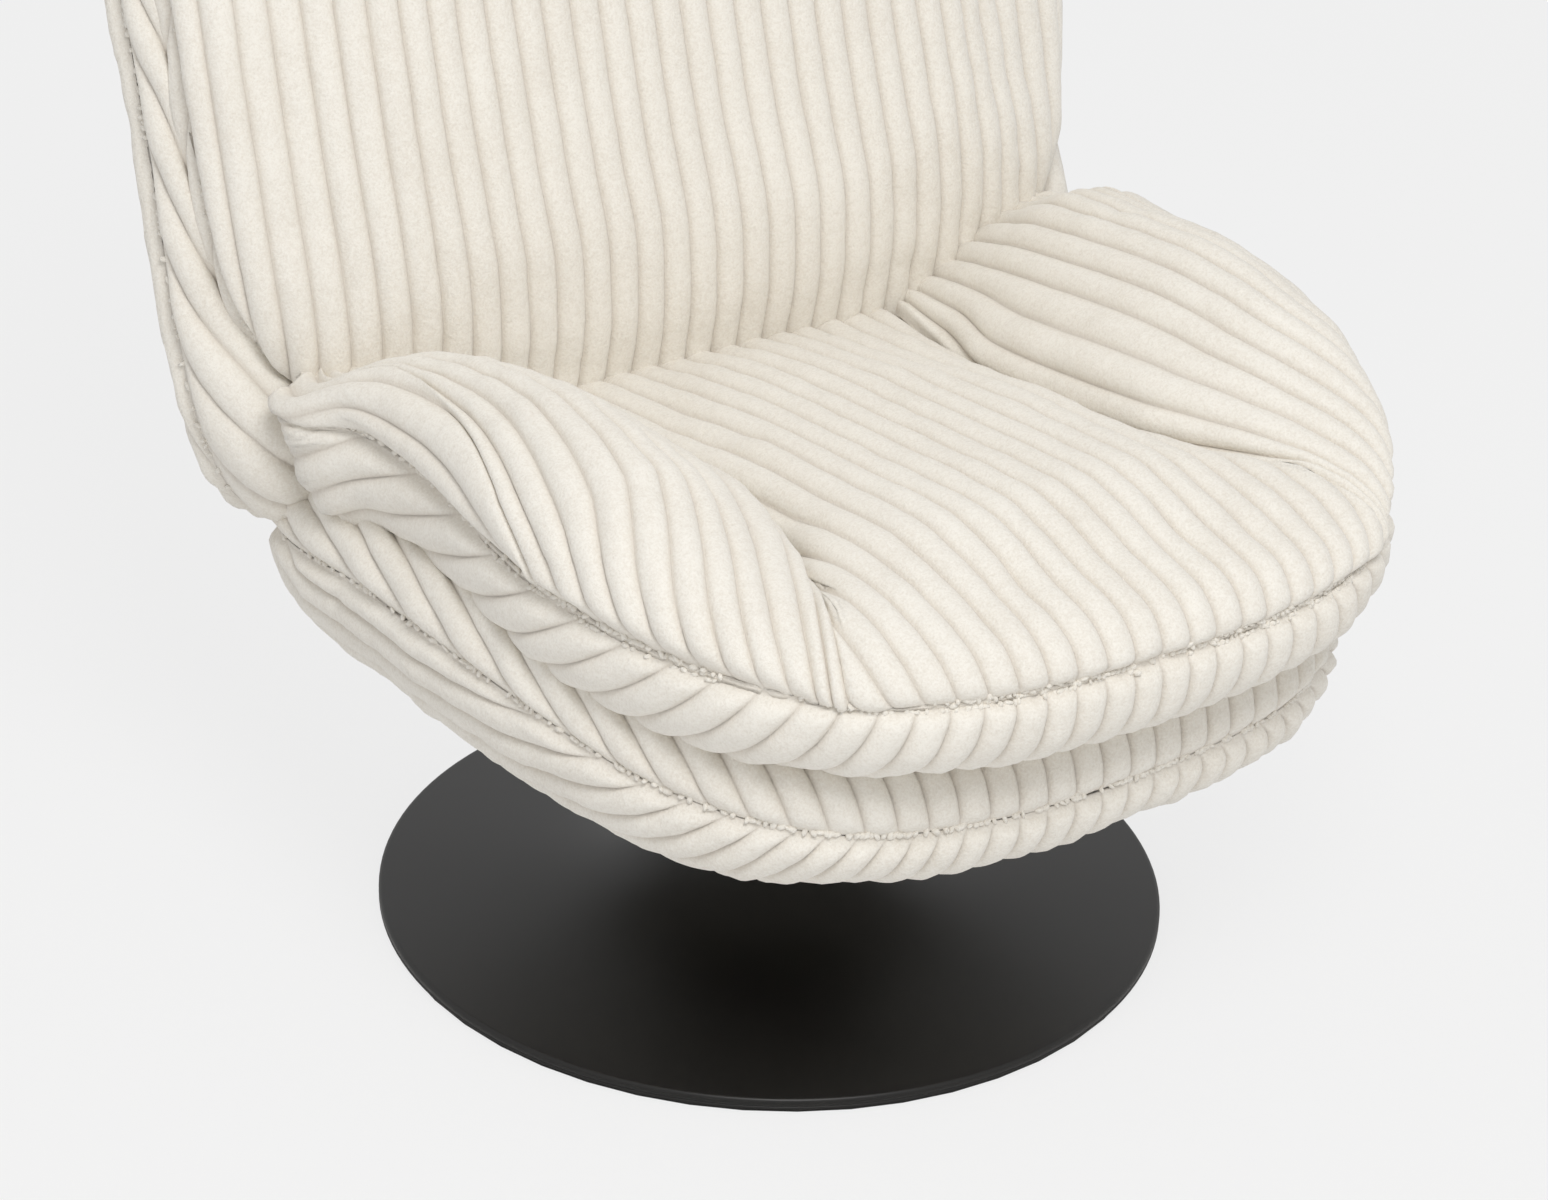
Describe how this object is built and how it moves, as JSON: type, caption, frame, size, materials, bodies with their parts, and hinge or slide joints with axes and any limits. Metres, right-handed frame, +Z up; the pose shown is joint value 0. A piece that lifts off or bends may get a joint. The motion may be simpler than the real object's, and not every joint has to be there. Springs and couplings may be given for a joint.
{
  "type": "swivel accent chair",
  "caption": "Upholstered swivel lounge chair: padded bucket seat shell, stuffed seat cushion rising into arm bolsters, reclined padded back and a round trumpet base.",
  "frame": {"origin": "on the floor, under the swivel axis", "axes": "+Z up along the swivel axis, -Y to the front of the seat, +X to the right of a viewer facing the chair"},
  "size_m": [0.748, 0.8271, 1.0016],
  "materials": {
    "corduroy_plush": "cream wide-wale corduroy with a short soft pile",
    "moulded_plywood": "bare moulded plywood, hidden in use",
    "satin_black_steel": "satin black powder coat",
    "zinc_steel": "zinc plated",
    "bush_acetal": "moulded, smooth",
    "felt_pad": "dark non-slip pad"
  },
  "bodies": {
    "base": {"floor_pad": "felt_pad", "ballast_plate": "zinc_steel", "base_cover": "satin_black_steel", "column_tube": "zinc_steel", "column_bolt_1": "zinc_steel", "column_bolt_2": "zinc_steel", "column_bolt_3": "zinc_steel", "column_bolt_4": "zinc_steel", "lower_bush": "bush_acetal", "upper_bush": "bush_acetal", "thrust_washer": "bush_acetal"},
    "seat": {"spindle": "zinc_steel", "spindle_clip": "zinc_steel", "swivel_plate": "satin_black_steel", "plate_bolt_1": "zinc_steel", "plate_bolt_2": "zinc_steel", "plate_bolt_3": "zinc_steel", "plate_bolt_4": "zinc_steel", "tee_nut_1": "zinc_steel", "tee_nut_2": "zinc_steel", "tee_nut_3": "zinc_steel", "tee_nut_4": "zinc_steel", "seat_shell": "moulded_plywood", "seat_cover": "corduroy_plush", "seat_border": "corduroy_plush", "seat_cushion": "corduroy_plush", "back_shell": "moulded_plywood", "back_cover": "corduroy_plush", "back_border": "corduroy_plush", "back_cushion": "corduroy_plush", "back_bracket_left": "satin_black_steel", "back_bracket_right": "satin_black_steel", "foot_bolt_left_1": "zinc_steel", "foot_bolt_left_2": "zinc_steel", "foot_bolt_right_1": "zinc_steel", "foot_bolt_right_2": "zinc_steel", "leg_bolt_left_1": "zinc_steel", "leg_bolt_left_2": "zinc_steel", "leg_bolt_right_1": "zinc_steel", "leg_bolt_right_2": "zinc_steel"}
  },
  "joints": [
    {"name": "swivel", "type": "hinge", "parent": "base", "child": "seat", "pos_m": [0, 0, 0], "axis": [0, 0, 1], "continuous": true}
  ]
}
